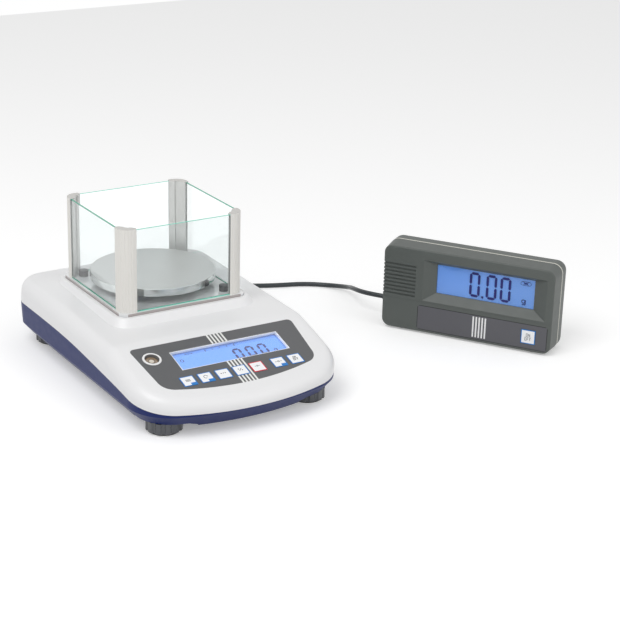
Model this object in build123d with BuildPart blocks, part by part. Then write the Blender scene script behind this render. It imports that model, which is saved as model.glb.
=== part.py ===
from build123d import *
from math import atan2, cos, degrees, pi, radians, sin, sqrt, tan
import os

os.makedirs("parts", exist_ok=True)

# Driving dimensions in millimetres. Every place on the balance is measured from the axis of its
# weighing plate, and every place on the second display from the foot of the middle of its face.

# Balance housing
side_margin = 20.0
body_rear = 104.0
body_front = 208.0
front_bow_radius = 250.0
front_corner_radius = 44.0
rear_corner_radius = 28.0
wall = 2.8
base_bottom = 8.0
crease_height = 22.0
seam_height = 44.0
seam_front_height = 21.0
seam_drops = [(20.0, 0.0), (-45.0, 2.0), (-100.0, 7.0), (-150.0, 12.5), (-190.0, 19.0)]
seam_gap = 0.3
past = 20.0
top_rear_height = 67.0
upper_lean = 5.0
lower_lean = 3.0
tuck_lean = 40.0
ridge_radius = 80.0
shoulder_radius = 12.0
shoulder_reach = 4.0
shoulder_front = 30.0
shoulder_rear = 20.0

# Sloping control panel: a plane that rises to the rear, given by one point and its tilt
panel_inset = 51.0
panel_height = 48.0
panel_tilt = 16.1
break_run = 48.5
break_radius = 30.0
foil_thickness = 0.6
foil_recess = 0.5
foil_top = 41.0
foil_bottom = -32.4
foil_left_margin = 6.4
foil_right_margin = 23.3
foil_low_inset = 6.0
foil_low = -20.0
foil_top_radius = 4.5
foil_low_radius = 15.0

# Display of the balance
lcd_width = 112.2
lcd_height = 27.7
lcd_ledge = 1.0
lcd_margin = 3.0
lcd_depth = 3.3
board_depth = 8.0
board_thickness = 1.6
board_margin = 3.0
board_length = 60.0
board_v = 6.0
switch_size = 6.0
board_post_radius = 3.0
board_post_inset = 4.0
board_post_v = (-19.0, 31.0)

# Keys
key_width = 13.4
key_length = 13.2
key_v = -15.6
key_pitch = 17.7
key_first = -52.4
key_gap = 22.2
key_rise = 0.3
key_flange = 1.1
key_flange_thickness = 0.8
key_stem_radius = 2.0
key_stem_length = 0.9
switch_gap = 0.6
part_clearance = 0.3
key_corner = 0.6

# Bubble level
level_gap = 10.5
level_v = 23.1
level_ring_radius = 8.8
level_body_radius = 7.7
level_bore_radius = 6.7
level_ring_rise = 0.5
level_depth = 7.2
level_floor = 1.0
vial_radius = 6.4
vial_height = 4.0
vial_dome = 0.6

# Draught shield
shield_y = -0.7
shield_half = 64.5
collar_top = 70.0
collar_half = 70.5
collar_lean = 40.0
collar_depth = 10.0
collar_corner = 13.5
collar_edge_radius = 2.5
plate_half = 66.5
plate_corner = 8.0
plate_thickness = 4.0
plate_seat = 1.5
plate_clearance = 0.4
post_leg = 15.0
post_bulge = 6.0
post_back = 3.5
post_back_half = 8.4
post_top = 153.6
post_channel_width = 5.0
post_channel_depth = 1.4
flute_count = 8
flute_radius = 0.7
flute_step = 14.0
glass_thickness = 2.0
glass_inset = 0.9
glass_top = 152.6
glass_end_inset = 10.0
glass_clearance = 0.1
shield_knob_offset = 50.0
shield_knob_radius = 4.6
shield_knob_height = 6.0
shield_knob_grips = 16
shield_grip_radius = 0.5
shield_stud_radius = 2.0
shield_stud_length = 12.0

# Weighing plate and what carries it
pan_radius = 60.0
pan_top = 88.0
pan_thickness = 1.0
pan_rim_height = 7.6
pan_rim_thickness = 0.9
pan_edge_radius = 0.9
pan_hem_radius = 0.9
socket_radius = 11.0
socket_wall = 2.0
socket_height = 2.7
spigot_clearance = 0.3
carrier_arm_length = 42.0
carrier_arm_width = 9.0
carrier_arm_thickness = 5.0
carrier_post_radius = 8.0
carrier_hole_radius = 12.0
buffer_radius = 4.0
buffer_height = 3.0
buffer_circle = 36.0
buffer_stub_radius = 2.0
buffer_stub_length = 3.0
flex_clearance = 0.8
flange_thickness = 5.0
flange_width = 26.0

# Load cell
cell_length = 72.0
cell_width = 26.0
cell_height = 20.0
cell_bottom = 18.0
cell_seat_length = 20.0
cell_hole_radius = 7.0
cell_hole_offset = 9.5
cell_slot_height = 5.0
cell_screw_radius = 2.5
cell_screw_gap = 10.0
cell_screw_depth = 9.0
cell_head_radius = 4.2
cell_head_height = 2.5
cell_sunk_height = 1.4
screw_clearance = 0.2

# Electronics on the floor
main_board_x = 7.0
main_board_inset = 23.0
main_board_width = 102.0
main_board_length = 34.0
chip_size = 12.0
chip_height = 1.6
standoff_x = (-39.0, 38.0)
standoff_inset = 5.0
standoff_height = 6.0
standoff_radius = 3.0
small_screw_radius = 1.3
small_head_radius = 2.4
small_head_height = 1.6

# Rear recess with its sockets
recess_left = -52.0
recess_right = 72.0
recess_low = 16.0
recess_high = 36.0
recess_sink = 7.0
recess_corner = 3.0
jack_x = -30.0
jack_width = 9.5
jack_height = 11.0
jack_length = 14.0
jack_bore_radius = 3.15
jack_bore_depth = 9.5
socket_x = 50.0
din_body = 14.0
din_length = 14.0
din_bore_radius = 4.8
din_bore_depth = 6.5
din_proud = 0.8

# Levelling feet
foot_inset = 30.4
foot_front_inset = 40.5
foot_rear_inset = 29.2
foot_height = 12.0
foot_radius = 17.0
foot_scallops = 12
scallop_radius = 2.6
sole_radius = 14.0
sole_height = 2.0
sole_pin_radius = 4.0
sole_pin_height = 3.0
sole_pin_clearance = 0.05
stud_radius = 4.0
stud_clearance = 0.08
stud_length = 12.0
foot_notch_width = 46.0
foot_notch_reach = 23.0
foot_boss_radius = 9.0

# Fasteners of the housing and the cap underneath
screw_inset = 21.0
screw_places = (-95.0, 20.0)
boss_radius = 4.5
boss_joint_height = 34.0
screw_radius = 1.75
screw_head_radius = 3.4
screw_head_height = 2.2
screw_length = 34.0
cap_radius = 11.0
cap_flange_radius = 13.0
cap_flange_height = 1.2
cap_depth = 4.0
cap_clearance = 0.2

# Second display: place on the table and turn, then its own sizes
display_x = 288.4
display_y = -125.2
display_turn = -56.1
display_grip = 44.75
display_right_margin = 8.75
display_bottom = 0.8
display_top_margin = 11.8
display_corner = 10.0
display_wall = 2.5
display_front_depth = 20.0
display_draft = 4.3
display_front_edge = 1.5
gasket_thickness = 1.5
gasket_width = 3.2
display_depth = 38.0
display_rear_edge = 6.0
pocket_slope_left = 12.8
pocket_slope_right = 14.2
pocket_slope_low = 8.5
pocket_slope_high = 4.4
pocket_depth = 6.0
screen_low = 45.0
screen_width = 103.0
screen_height = 30.6
screen_margin = 2.0
window_lip = 1.0
window_thickness = 1.5
display_lcd_thickness = 4.0
display_board_inset = 20.75
display_board_low = 9.0
display_board_top_inset = 8.8
display_post_left = 7.0
display_post_right = 21.0
display_post_end = 7.0
display_post_low = 14.0
rib_count = 9
rib_pitch = 3.95
rib_low = 39.5
rib_length = 36.75
rib_groove = 1.9
rib_depth = 1.2
rib_side_cut = 2.4
rib_side_depth = 15.0
ledge_height = 35.0
ledge_depth = 0.5
strip_left_inset = 40.05
strip_right_inset = 5.15
strip_low = 4.6
strip_high = 31.0
strip_corner = 3.0
display_key_inset = 24.75
display_key_z = 17.6
display_key_size = 14.7
display_screw_inset = 11.75
display_screw_low = 9.0
display_screw_top_inset = 9.8
display_boss_radius = 3.6
display_screw_sink = 2.0
display_screw_end = 8.0
display_pad_radius = 4.0
display_pad_height = 1.8
display_pad_inset = 21.75
display_pad_depths = (10.0, 27.0)

# Cord between the two. Its route is chosen by hand: from the plug it drops to the table behind the
# balance, comes round its right side and rises to the second display.
cord_radius = 2.5
plug_radius = 6.5
plug_length = 18.0
plug_edge = 1.5
plug_shell_radius = 4.7
plug_shell_length = 5.5
relief_length = 18.0
relief_root_radius = 4.6
relief_tip_radius = 3.4
relief_grooves = 4
relief_groove_width = 1.6
gland_height = 23.0
gland_depth = 27.0
gland_flange_radius = 5.0
gland_flange_thickness = 1.5
gland_neck_radius = 4.0
gland_taper = 7.0
gland_reach = 8.0
cord_lead_plug = 18.2
cord_lead_gland = 22.0
cord_places = [
    (55, 175, 17),
    (70, 193, 8),
    (94, 199, cord_radius),
    (120, 182, cord_radius),
    (143, 147, cord_radius),
    (168, 117, cord_radius),
    (200, 102, cord_radius),
    (232, 92, cord_radius),
    (256, 73, cord_radius),
    (260, 44, 9),
    (246, 18, 19),
]

# Widths of the balance, added up from the level, the screen and the margins beside them
foil_width = foil_left_margin + 2 * level_ring_radius + level_gap + lcd_width + foil_right_margin
foil_top_half = foil_width / 2
foil_low_half = foil_top_half - foil_low_inset
body_width = foil_width + 2 * side_margin
lcd_x = foil_top_half - foil_right_margin - lcd_width / 2
level_u = -foil_top_half + foil_left_margin + level_ring_radius
board_width = foil_width + 2 * board_margin
board_post_u = board_width / 2 - board_post_inset

# Places on the balance, measured in from its sides, its front and its rear
panel_y = panel_inset - body_front
break_y = panel_y + break_run
screw_x = body_width / 2 - screw_inset
foot_x = body_width / 2 - foot_inset
foot_front = foot_front_inset - body_front
foot_rear = body_rear - foot_rear_inset
recess_face = body_rear - recess_sink
main_board_y = recess_face - main_board_inset
standoff_reach = main_board_length / 2 - standoff_inset
standoff_y = (main_board_y - standoff_reach, main_board_y + standoff_reach)

# Size of the second display, added up from its screen and what surrounds it
pocket_width = pocket_slope_left + screen_width + pocket_slope_right
display_width = display_grip + pocket_width + display_right_margin
display_half = display_width / 2
pocket_left = display_grip - display_half
pocket_right = display_half - display_right_margin
pocket_low = screen_low - pocket_slope_low
pocket_high = screen_low + screen_height + pocket_slope_high
display_top = pocket_high + display_top_margin
screen_x = pocket_left + pocket_slope_left + screen_width / 2
screen_z = screen_low + screen_height / 2
rib_end = rib_length - display_half
strip_left = strip_left_inset - display_half
strip_right = display_half - strip_right_inset
display_key_x = display_half - display_key_inset
display_screw_x = display_half - display_screw_inset
display_screw_high = display_top - display_screw_top_inset
display_pad_x = display_half - display_pad_inset
display_board_half = display_half - display_board_inset
display_board_high = display_top - display_board_top_inset
display_posts = [
    (display_post_left - display_board_half, display_board_high - display_post_end),
    (display_post_left - display_board_half, display_post_low),
    (display_board_half - display_post_right, display_post_low),
]

# The origin lies under the middle of the whole footprint, on the table
turn = radians(display_turn)
reach_right = (
    display_x
    + cos(turn) * (display_width / 2 - display_rear_edge)
    - sin(turn) * (display_depth - display_rear_edge)
    + display_rear_edge
)
pan_x = -(reach_right - body_width / 2) / 2
pan_y = (body_front - body_rear) / 2


# Planes
def level(height):
    """Level plane of the balance, over the plate's axis."""
    return Plane(origin=(pan_x, pan_y, height))


def along(x):
    """Upright plane that runs from front to rear of the balance: sketch x is Y, sketch y is Z."""
    return Plane(origin=(pan_x + x, pan_y, 0), x_dir=(0, 1, 0), z_dir=(1, 0, 0))


def facing_rear(y):
    """Upright plane across the balance whose normal points to the rear: sketch x is -X."""
    return Plane(origin=(pan_x, pan_y + y, 0), x_dir=(-1, 0, 0), z_dir=(0, 1, 0))


def panel(depth=0.0):
    """Plane of the control panel, or one a depth below it: sketch y runs up the slope."""
    tilt = radians(panel_tilt)
    return Plane(
        origin=(pan_x, pan_y + panel_y, panel_height), x_dir=(1, 0, 0), z_dir=(0, -sin(tilt), cos(tilt))
    ).offset(-depth)


def face(depth=0.0):
    """Plane of the second display's face, or one a depth behind it: sketch x is to the right, y is up."""
    return Plane(
        origin=(pan_x + display_x, pan_y + display_y, 0),
        x_dir=(cos(turn), sin(turn), 0),
        z_dir=(sin(turn), -cos(turn), 0),
    ).offset(-depth)


def table(height=0.0):
    """Level plane at the second display: sketch x is to its right, y is the depth behind its face."""
    return Plane(
        origin=(pan_x + display_x, pan_y + display_y, height),
        x_dir=(cos(turn), sin(turn), 0),
        z_dir=(0, 0, 1),
    )


def beside(reach=0.0):
    """Upright plane on the left side of the second display, centred on its cord's way out."""
    centre = face(gland_depth).from_local_coords(Vector(-display_width / 2 - reach, gland_height, 0))
    return Plane(origin=centre, x_dir=(0, 0, 1), z_dir=(-cos(turn), -sin(turn), 0))


# Outer form of the housing. The two shells are cut from it along the seam, so they meet flush.
slope = tan(radians(panel_tilt))
break_height = panel_height + (break_y - panel_y) * slope
seam_points = [(body_rear + past, seam_height)]
seam_points += [(y, seam_height - drop) for y, drop in seam_drops]
seam_points += [(-body_front - past, seam_front_height)]


def plan_outline(inset):
    """Outline of the balance seen from above, drawn in by an inset: bowed front, round corners."""
    half = body_width / 2 - inset
    bow = front_bow_radius - inset
    corner_y = -body_front + inset + bow - sqrt(bow**2 - half**2)
    with BuildSketch() as outline:
        with BuildLine():
            ThreePointArc((-half, corner_y), (0, -body_front + inset), (half, corner_y))
            Polyline(
                (half, corner_y), (half, body_rear - inset), (-half, body_rear - inset), (-half, corner_y)
            )
        make_face()
        fillet(outline.vertices().group_by(Axis.Y)[0], front_corner_radius - inset)
        fillet(outline.vertices().group_by(Axis.Y)[-1], rear_corner_radius - inset)
    return outline.sketch


def housing_form(inset):
    """The whole housing as one block, widest at the seam, with its walls drawn in by an inset."""
    with BuildPart() as form:
        with BuildSketch(level(seam_height)):
            add(plan_outline(inset))
        extrude(amount=top_rear_height - seam_height, taper=upper_lean)
        with BuildSketch(level(seam_height)):
            add(plan_outline(inset))
        extrude(amount=crease_height - seam_height, taper=lower_lean)
        fillet(form.edges().filter_by_position(Axis.Z, seam_height, seam_height), ridge_radius)
        drawn_in = (seam_height - crease_height) * tan(radians(lower_lean))
        with BuildSketch(level(crease_height)):
            add(plan_outline(inset + drawn_in))
        extrude(amount=base_bottom - crease_height, taper=tuck_lean)
    return form.part


def seam_side(upper, inset=0.0, gap=0.0):
    """Side view of all that is above or below the seam, under a top line drawn in by an inset."""
    drop = inset / cos(radians(panel_tilt))
    front = -body_front - past
    front_top = panel_height + (front - panel_y) * slope - drop
    rear_top = top_rear_height - inset
    with BuildSketch() as side:
        with BuildLine():
            Spline(*[(y, z - gap) for y, z in seam_points])
            if upper:
                Polyline(
                    (front, seam_front_height),
                    (front, front_top),
                    (break_y, break_height - inset),
                    (body_rear, rear_top),
                    (body_rear + past, rear_top),
                    (body_rear + past, seam_height),
                )
            else:
                Polyline(
                    (front, seam_front_height - gap),
                    (front, base_bottom + inset),
                    (body_rear + past, base_bottom + inset),
                    (body_rear + past, seam_height - gap),
                )
        make_face()
        if upper:
            corner = side.vertices().sort_by_distance((break_y, break_height - inset))[0]
            fillet(corner, break_radius)
    return side.sketch


def cover_form(inset):
    """Block above the seam with its shoulders rounded: the outside of the top cover, or its hollow."""
    with BuildPart() as form:
        add(housing_form(inset))
        with BuildSketch(along(0)):
            add(seam_side(True, inset))
        extrude(amount=body_width, both=True, mode=Mode.INTERSECT)
        shoulders = form.edges().filter_by(lambda e: on_shoulder(e, inset))
        fillet(shoulders, shoulder_radius - inset)
    return form.part


def on_shoulder(edge, inset):
    """True for an edge on the rim of the top surface, told by its height and by its direction."""
    middle = edge.center()
    y = middle.Y - pan_y
    top = panel_height + (y - panel_y) * slope if y < break_y else break_height
    between = shoulder_front - body_front < y < body_rear - shoulder_rear
    across = abs(edge.tangent_at(0.5).X) > 0.98 and between
    steep = abs(edge.tangent_at(0.5).Z) > 0.6
    return middle.Z > top - inset - shoulder_reach and not across and not steep


# Places that both shells and the pieces between them share
floor_height = base_bottom + wall
screw_points = [(side * screw_x, y) for side in (-1, 1) for y in screw_places]
foot_points = [(side * foot_x, y) for side in (-1, 1) for y in (foot_front, foot_rear)]
key_places = [key_first + i * key_pitch for i in range(5)]
key_places += [key_places[-1] + key_gap, key_places[-1] + key_gap + key_pitch]
key_names = ["print", "mode", "count", "percent", "tare", "zero", "power"]
knob_points = [
    (-shield_knob_offset, shield_y + shield_knob_offset),
    (shield_knob_offset, shield_y - shield_knob_offset),
]
plate_bottom = collar_top - plate_seat
plate_top = plate_bottom + plate_thickness
jack_axis_height = floor_height + standoff_height + board_thickness + jack_height / 2
socket_axis_height = floor_height + standoff_height + board_thickness + din_body / 2
lcd_v = lcd_height / 2
cell_seat_middle = (cell_length - cell_seat_length) / 2
cell_base_screws = [-cell_seat_middle - cell_screw_gap / 2, -cell_seat_middle + cell_screw_gap / 2]
carrier_screw_places = [cell_seat_middle - cell_screw_gap / 2, cell_seat_middle + cell_screw_gap / 2]
board_screw_points = [(x, y) for x in standoff_x for y in standoff_y]

# Outline of the control foil, symmetric, with a bowed lower edge
with BuildSketch() as foil_sketch:
    with BuildLine():
        Polyline(
            (-foil_low_half, foil_low),
            (-foil_top_half, foil_top),
            (foil_top_half, foil_top),
            (foil_low_half, foil_low),
        )
        ThreePointArc((foil_low_half, foil_low), (0, foil_bottom), (-foil_low_half, foil_low))
    make_face()
    fillet(foil_sketch.vertices().group_by(Axis.Y)[-1], foil_top_radius)
    fillet(foil_sketch.vertices().group_by(Axis.Y)[0], foil_low_radius)
foil_outline = foil_sketch.sketch


def rounded_square(half, radius):
    """Square outline round the shield's middle, with rounded corners."""
    with BuildSketch() as outline:
        with Locations((0, shield_y)):
            RectangleRounded(2 * half, 2 * half, radius)
    return outline.sketch


# Top cover
with BuildPart() as cover_hollow:
    add(cover_form(wall))
    with BuildSketch(level(boss_joint_height)):
        with Locations(*screw_points):
            Circle(boss_radius)
    extrude(amount=top_rear_height - boss_joint_height, mode=Mode.SUBTRACT)
    with BuildSketch(panel(board_depth)):
        with Locations(*[(side * board_post_u, v) for side in (-1, 1) for v in board_post_v]):
            Circle(board_post_radius)
    extrude(amount=board_depth, mode=Mode.SUBTRACT)

with BuildPart() as top_cover:
    add(cover_form(0))
    flare = collar_depth * tan(radians(collar_lean))
    with BuildSketch(level(collar_top - collar_depth)):
        add(rounded_square(collar_half + flare, collar_corner + flare))
    extrude(amount=collar_depth, taper=collar_lean)
    collar_rim = top_cover.edges().filter_by_position(Axis.Z, collar_top - 0.01, collar_top + 0.01)
    fillet(collar_rim, collar_edge_radius)
    add(cover_hollow.part, mode=Mode.SUBTRACT)
    with BuildSketch(level(boss_joint_height)):
        with Locations(*screw_points):
            Circle(boss_radius)
    extrude(amount=seam_height - boss_joint_height)
    with BuildSketch(level(plate_bottom)):
        add(rounded_square(plate_half + plate_clearance, plate_corner + plate_clearance))
    extrude(amount=plate_thickness, mode=Mode.SUBTRACT)
    with BuildSketch(level(plate_bottom)):
        Circle(carrier_hole_radius)
        with Locations(*knob_points):
            Circle(shield_stud_radius + screw_clearance)
    extrude(amount=-shield_stud_length, mode=Mode.SUBTRACT)
    with BuildSketch(level(boss_joint_height)):
        with Locations(*screw_points):
            Circle(screw_radius + screw_clearance)
    extrude(amount=screw_length / 2, mode=Mode.SUBTRACT)
    with BuildSketch(panel()):
        add(foil_outline)
    extrude(amount=-foil_recess, mode=Mode.SUBTRACT)
    with BuildSketch(panel(-foil_thickness)):
        with Locations((lcd_x, lcd_v)):
            Rectangle(lcd_width - 2 * lcd_ledge, lcd_height - 2 * lcd_ledge)
        with Locations(*[(u, key_v) for u in key_places]):
            RectangleRounded(
                key_width + 2 * part_clearance, key_length + 2 * part_clearance, key_corner + part_clearance
            )
        with Locations((level_u, level_v)):
            Circle(level_body_radius + screw_clearance)
    extrude(amount=-board_depth, mode=Mode.SUBTRACT)
top_cover.part.label = "top_cover"
export_step(top_cover.part, "parts/top_cover.step")


# Base housing: the blue shell, with bosses, notches over the feet and the socket recess
with BuildPart() as base_hollow:
    add(housing_form(wall))
    with BuildSketch(along(0)):
        add(seam_side(False, wall, seam_gap))
    extrude(amount=body_width, both=True, mode=Mode.INTERSECT)
    with BuildSketch(level(base_bottom)):
        for x, y in foot_points:
            outward = foot_notch_reach if x > 0 else -foot_notch_reach
            with Locations((x + outward / 2, y)):
                Rectangle(3 * foot_notch_reach + 2 * wall, foot_notch_width + 2 * wall)
    extrude(amount=foot_height + wall - base_bottom, mode=Mode.SUBTRACT)
    with BuildSketch(level(base_bottom)):
        with Locations(*foot_points):
            Circle(foot_boss_radius)
    extrude(amount=foot_height + stud_length + wall - base_bottom, mode=Mode.SUBTRACT)
    with BuildSketch(level(base_bottom)):
        with Locations(*screw_points):
            Circle(boss_radius)
    extrude(amount=boss_joint_height - base_bottom, mode=Mode.SUBTRACT)
    with BuildSketch(facing_rear(recess_face - wall)):
        with Locations((-(recess_left + recess_right) / 2, (recess_low + recess_high) / 2)):
            Rectangle(recess_right - recess_left + 2 * wall, recess_high - recess_low + 2 * wall)
    extrude(amount=past, mode=Mode.SUBTRACT)

with BuildPart() as base_housing:
    add(housing_form(0))
    with BuildSketch(along(0)):
        add(seam_side(False, 0, seam_gap))
    extrude(amount=body_width, both=True, mode=Mode.INTERSECT)
    add(base_hollow.part, mode=Mode.SUBTRACT)
    with BuildSketch(level(base_bottom)):
        for x, y in foot_points:
            outward = foot_notch_reach if x > 0 else -foot_notch_reach
            with Locations((x + outward / 2, y)):
                Rectangle(3 * foot_notch_reach, foot_notch_width)
    extrude(amount=foot_height - base_bottom, mode=Mode.SUBTRACT)
    with BuildSketch(level(foot_height)):
        with Locations(*foot_points):
            Circle(stud_radius + stud_clearance)
    extrude(amount=stud_length, mode=Mode.SUBTRACT)
    with BuildSketch(level(base_bottom)):
        with Locations(*screw_points):
            Circle(screw_head_radius + screw_clearance)
    extrude(amount=screw_head_height + screw_clearance, mode=Mode.SUBTRACT)
    with BuildSketch(level(base_bottom)):
        with Locations(*screw_points):
            Circle(screw_radius + screw_clearance)
    extrude(amount=boss_joint_height - base_bottom, mode=Mode.SUBTRACT)
    with BuildSketch(level(base_bottom)):
        Circle(cap_radius + cap_clearance)
    extrude(amount=wall, mode=Mode.SUBTRACT)
    with BuildSketch(level(base_bottom)):
        Circle(cap_flange_radius + cap_clearance)
    extrude(amount=cap_flange_height, mode=Mode.SUBTRACT)
    with BuildSketch(facing_rear(recess_face)):
        with Locations((-(recess_left + recess_right) / 2, (recess_low + recess_high) / 2)):
            RectangleRounded(recess_right - recess_left, recess_high - recess_low, recess_corner)
    extrude(amount=past, mode=Mode.SUBTRACT)
    with BuildSketch(facing_rear(recess_face - wall)):
        with Locations((-jack_x, jack_axis_height)):
            Rectangle(jack_width + 2 * part_clearance, jack_height + 2 * part_clearance)
        with Locations((-socket_x, socket_axis_height)):
            Rectangle(din_body + 2 * part_clearance, din_body + 2 * part_clearance)
    extrude(amount=wall, mode=Mode.SUBTRACT)
    with BuildSketch(level(floor_height)):
        with Locations(*[(0, y) for y in cell_base_screws]):
            Circle(cell_screw_radius + screw_clearance)
    extrude(amount=-wall, mode=Mode.SUBTRACT)
    with BuildSketch(level(base_bottom)):
        with Locations(*[(0, y) for y in cell_base_screws]):
            Circle(cell_head_radius + screw_clearance)
    extrude(amount=cell_sunk_height, mode=Mode.SUBTRACT)
    with BuildSketch(level(floor_height)):
        with Locations(*board_screw_points):
            Circle(standoff_radius)
    extrude(amount=standoff_height)
    with BuildSketch(level(floor_height + standoff_height)):
        with Locations(*board_screw_points):
            Circle(small_screw_radius + screw_clearance)
    extrude(amount=-standoff_height + wall, mode=Mode.SUBTRACT)
base_housing.part.label = "base_housing"
export_step(base_housing.part, "parts/base_housing.step")


# Control panel: foil, window, glass display and circuit board
with BuildPart() as control_foil:
    with BuildSketch(panel(foil_recess)):
        add(foil_outline)
        with Locations((lcd_x, lcd_v)):
            Rectangle(lcd_width, lcd_height, mode=Mode.SUBTRACT)
        with Locations(*[(u, key_v) for u in key_places]):
            RectangleRounded(
                key_width + 2 * part_clearance,
                key_length + 2 * part_clearance,
                key_corner + part_clearance,
                mode=Mode.SUBTRACT,
            )
        with Locations((level_u, level_v)):
            Circle(level_ring_radius + screw_clearance, mode=Mode.SUBTRACT)
    extrude(amount=foil_thickness)
control_foil.part.label = "control_foil"
export_step(control_foil.part, "parts/control_foil.step")

with BuildPart() as lcd_window:
    with BuildSketch(panel(foil_recess)):
        with Locations((lcd_x, lcd_v)):
            Rectangle(lcd_width - glass_clearance, lcd_height - glass_clearance)
    extrude(amount=foil_thickness)
lcd_window.part.label = "lcd_window"
export_step(lcd_window.part, "parts/lcd_window.step")

with BuildPart() as lcd_panel:
    with BuildSketch(panel(board_depth)):
        with Locations((lcd_x, lcd_v)):
            Rectangle(lcd_width + lcd_margin, lcd_height + lcd_margin)
    extrude(amount=board_depth - lcd_depth)
lcd_panel.part.label = "lcd_panel"
export_step(lcd_panel.part, "parts/lcd_panel.step")

with BuildPart() as control_board:
    with BuildSketch(panel(board_depth)):
        with Locations((0, board_v)):
            Rectangle(board_width, board_length)
    extrude(amount=-board_thickness)
    switch_height = board_depth - wall - key_flange_thickness - key_stem_length - switch_gap
    with BuildSketch(panel(board_depth)):
        with Locations(*[(u, key_v) for u in key_places]):
            Rectangle(switch_size, switch_size)
    extrude(amount=switch_height)
control_board.part.label = "control_board"
export_step(control_board.part, "parts/control_board.step")

# Keys: a cap that fills its opening, a flange that stops it behind the cover and a short stem
for key_name, u in zip(key_names, key_places):
    with BuildPart() as key:
        with BuildSketch(panel(wall)):
            with Locations((u, key_v)):
                RectangleRounded(key_width, key_length, key_corner)
        extrude(amount=wall + key_rise)
        with BuildSketch(panel(wall)):
            with Locations((u, key_v)):
                Rectangle(key_width + 2 * key_flange, key_length + 2 * key_flange)
        extrude(amount=-key_flange_thickness)
        with BuildSketch(panel(wall + key_flange_thickness)):
            with Locations((u, key_v)):
                Circle(key_stem_radius)
        extrude(amount=-key_stem_length)
    key.part.label = f"key_{key_name}"
    export_step(key.part, f"parts/key_{key_name}.step")

# Bubble level: a cup with its bezel, and the vial in it
with BuildPart() as level_cup:
    with BuildSketch(panel(foil_recess)):
        with Locations((level_u, level_v)):
            Circle(level_ring_radius)
    extrude(amount=foil_recess + level_ring_rise)
    with BuildSketch(panel(foil_recess)):
        with Locations((level_u, level_v)):
            Circle(level_body_radius)
    extrude(amount=foil_recess - level_depth)
    fillet(level_cup.faces().sort_by(Axis.Z)[-1].edges(), level_ring_rise / 2)
    with BuildSketch(panel(level_depth - level_floor)):
        with Locations((level_u, level_v)):
            Circle(level_bore_radius)
    extrude(amount=level_depth, mode=Mode.SUBTRACT)
level_cup.part.label = "level_cup"
export_step(level_cup.part, "parts/level_cup.step")

with BuildPart() as level_vial:
    with BuildSketch(panel(level_depth - level_floor)):
        with Locations((level_u, level_v)):
            Circle(vial_radius)
    extrude(amount=vial_height)
    fillet(level_vial.faces().sort_by(Axis.Z)[-1].edges(), vial_dome)
level_vial.part.label = "level_vial"
export_step(level_vial.part, "parts/level_vial.step")


# Draught shield: clear base plate, four fluted posts, four panes and two knurled knobs
with BuildPart() as shield_base_plate:
    with BuildSketch(level(plate_bottom)):
        add(rounded_square(plate_half, plate_corner))
        Circle(carrier_hole_radius, mode=Mode.SUBTRACT)
        with Locations(*knob_points):
            Circle(shield_stud_radius + screw_clearance, mode=Mode.SUBTRACT)
    extrude(amount=plate_thickness)
shield_base_plate.part.label = "shield_base_plate"
export_step(shield_base_plate.part, "parts/shield_base_plate.step")

chord_half = post_leg / sqrt(2)
chord_distance = (2 * shield_half - post_leg) / sqrt(2)
bulge_radius = (chord_half**2 + post_bulge**2) / (2 * post_bulge)
pane_middle = shield_half - glass_inset - glass_thickness / 2
pane_length = 2 * (shield_half - glass_end_inset)
pane_places = {"front": (0, -1), "rear": (0, 1), "left": (-1, 0), "right": (1, 0)}


def pane_outline(side, clearance=0.0):
    """Outline of one pane seen from above, on the shield's own centre."""
    x, y = pane_places[side]
    across = (pane_length if y else glass_thickness) + 2 * clearance
    deep = (glass_thickness if y else pane_length) + 2 * clearance
    with BuildSketch() as outline:
        with Locations((x * pane_middle, shield_y + y * pane_middle)):
            Rectangle(across, deep)
    return outline.sketch


def post_outline():
    """Section of a post: convex fluted outside, flat back with a channel, +x pointing outwards."""
    with BuildSketch() as outline:
        with BuildLine():
            ThreePointArc((0, -chord_half), (post_bulge, 0), (0, chord_half))
            Polyline(
                (0, chord_half), (-post_back, post_back_half), (-post_back, -post_back_half), (0, -chord_half)
            )
        make_face()
        with Locations((-post_back, 0)):
            Rectangle(2 * post_channel_depth, post_channel_width, mode=Mode.SUBTRACT)
        for i in range(flute_count):
            angle = radians((i - (flute_count - 1) / 2) * flute_step)
            depth = bulge_radius + flute_radius / 2
            with Locations((post_bulge - bulge_radius + depth * cos(angle), depth * sin(angle))):
                Circle(flute_radius, mode=Mode.SUBTRACT)
    return outline.sketch


post_angles = {"rear_right": 45, "rear_left": 135, "front_left": 225, "front_right": 315}
for corner, angle in post_angles.items():
    with BuildPart() as post:
        with BuildSketch(level(plate_top)):
            with Locations((0, shield_y)):
                with PolarLocations(chord_distance, 1, start_angle=angle):
                    add(post_outline())
        extrude(amount=post_top - plate_top)
        with BuildSketch(level(plate_top)):
            for side in pane_places:
                add(pane_outline(side, glass_clearance))
        extrude(amount=glass_top + glass_clearance - plate_top, mode=Mode.SUBTRACT)
    post.part.label = f"post_{corner}"
    export_step(post.part, f"parts/post_{corner}.step")

for side in pane_places:
    with BuildPart() as glass:
        with BuildSketch(level(plate_top)):
            add(pane_outline(side))
        extrude(amount=glass_top - plate_top)
    glass.part.label = f"glass_{side}"
    export_step(glass.part, f"parts/glass_{side}.step")

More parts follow.
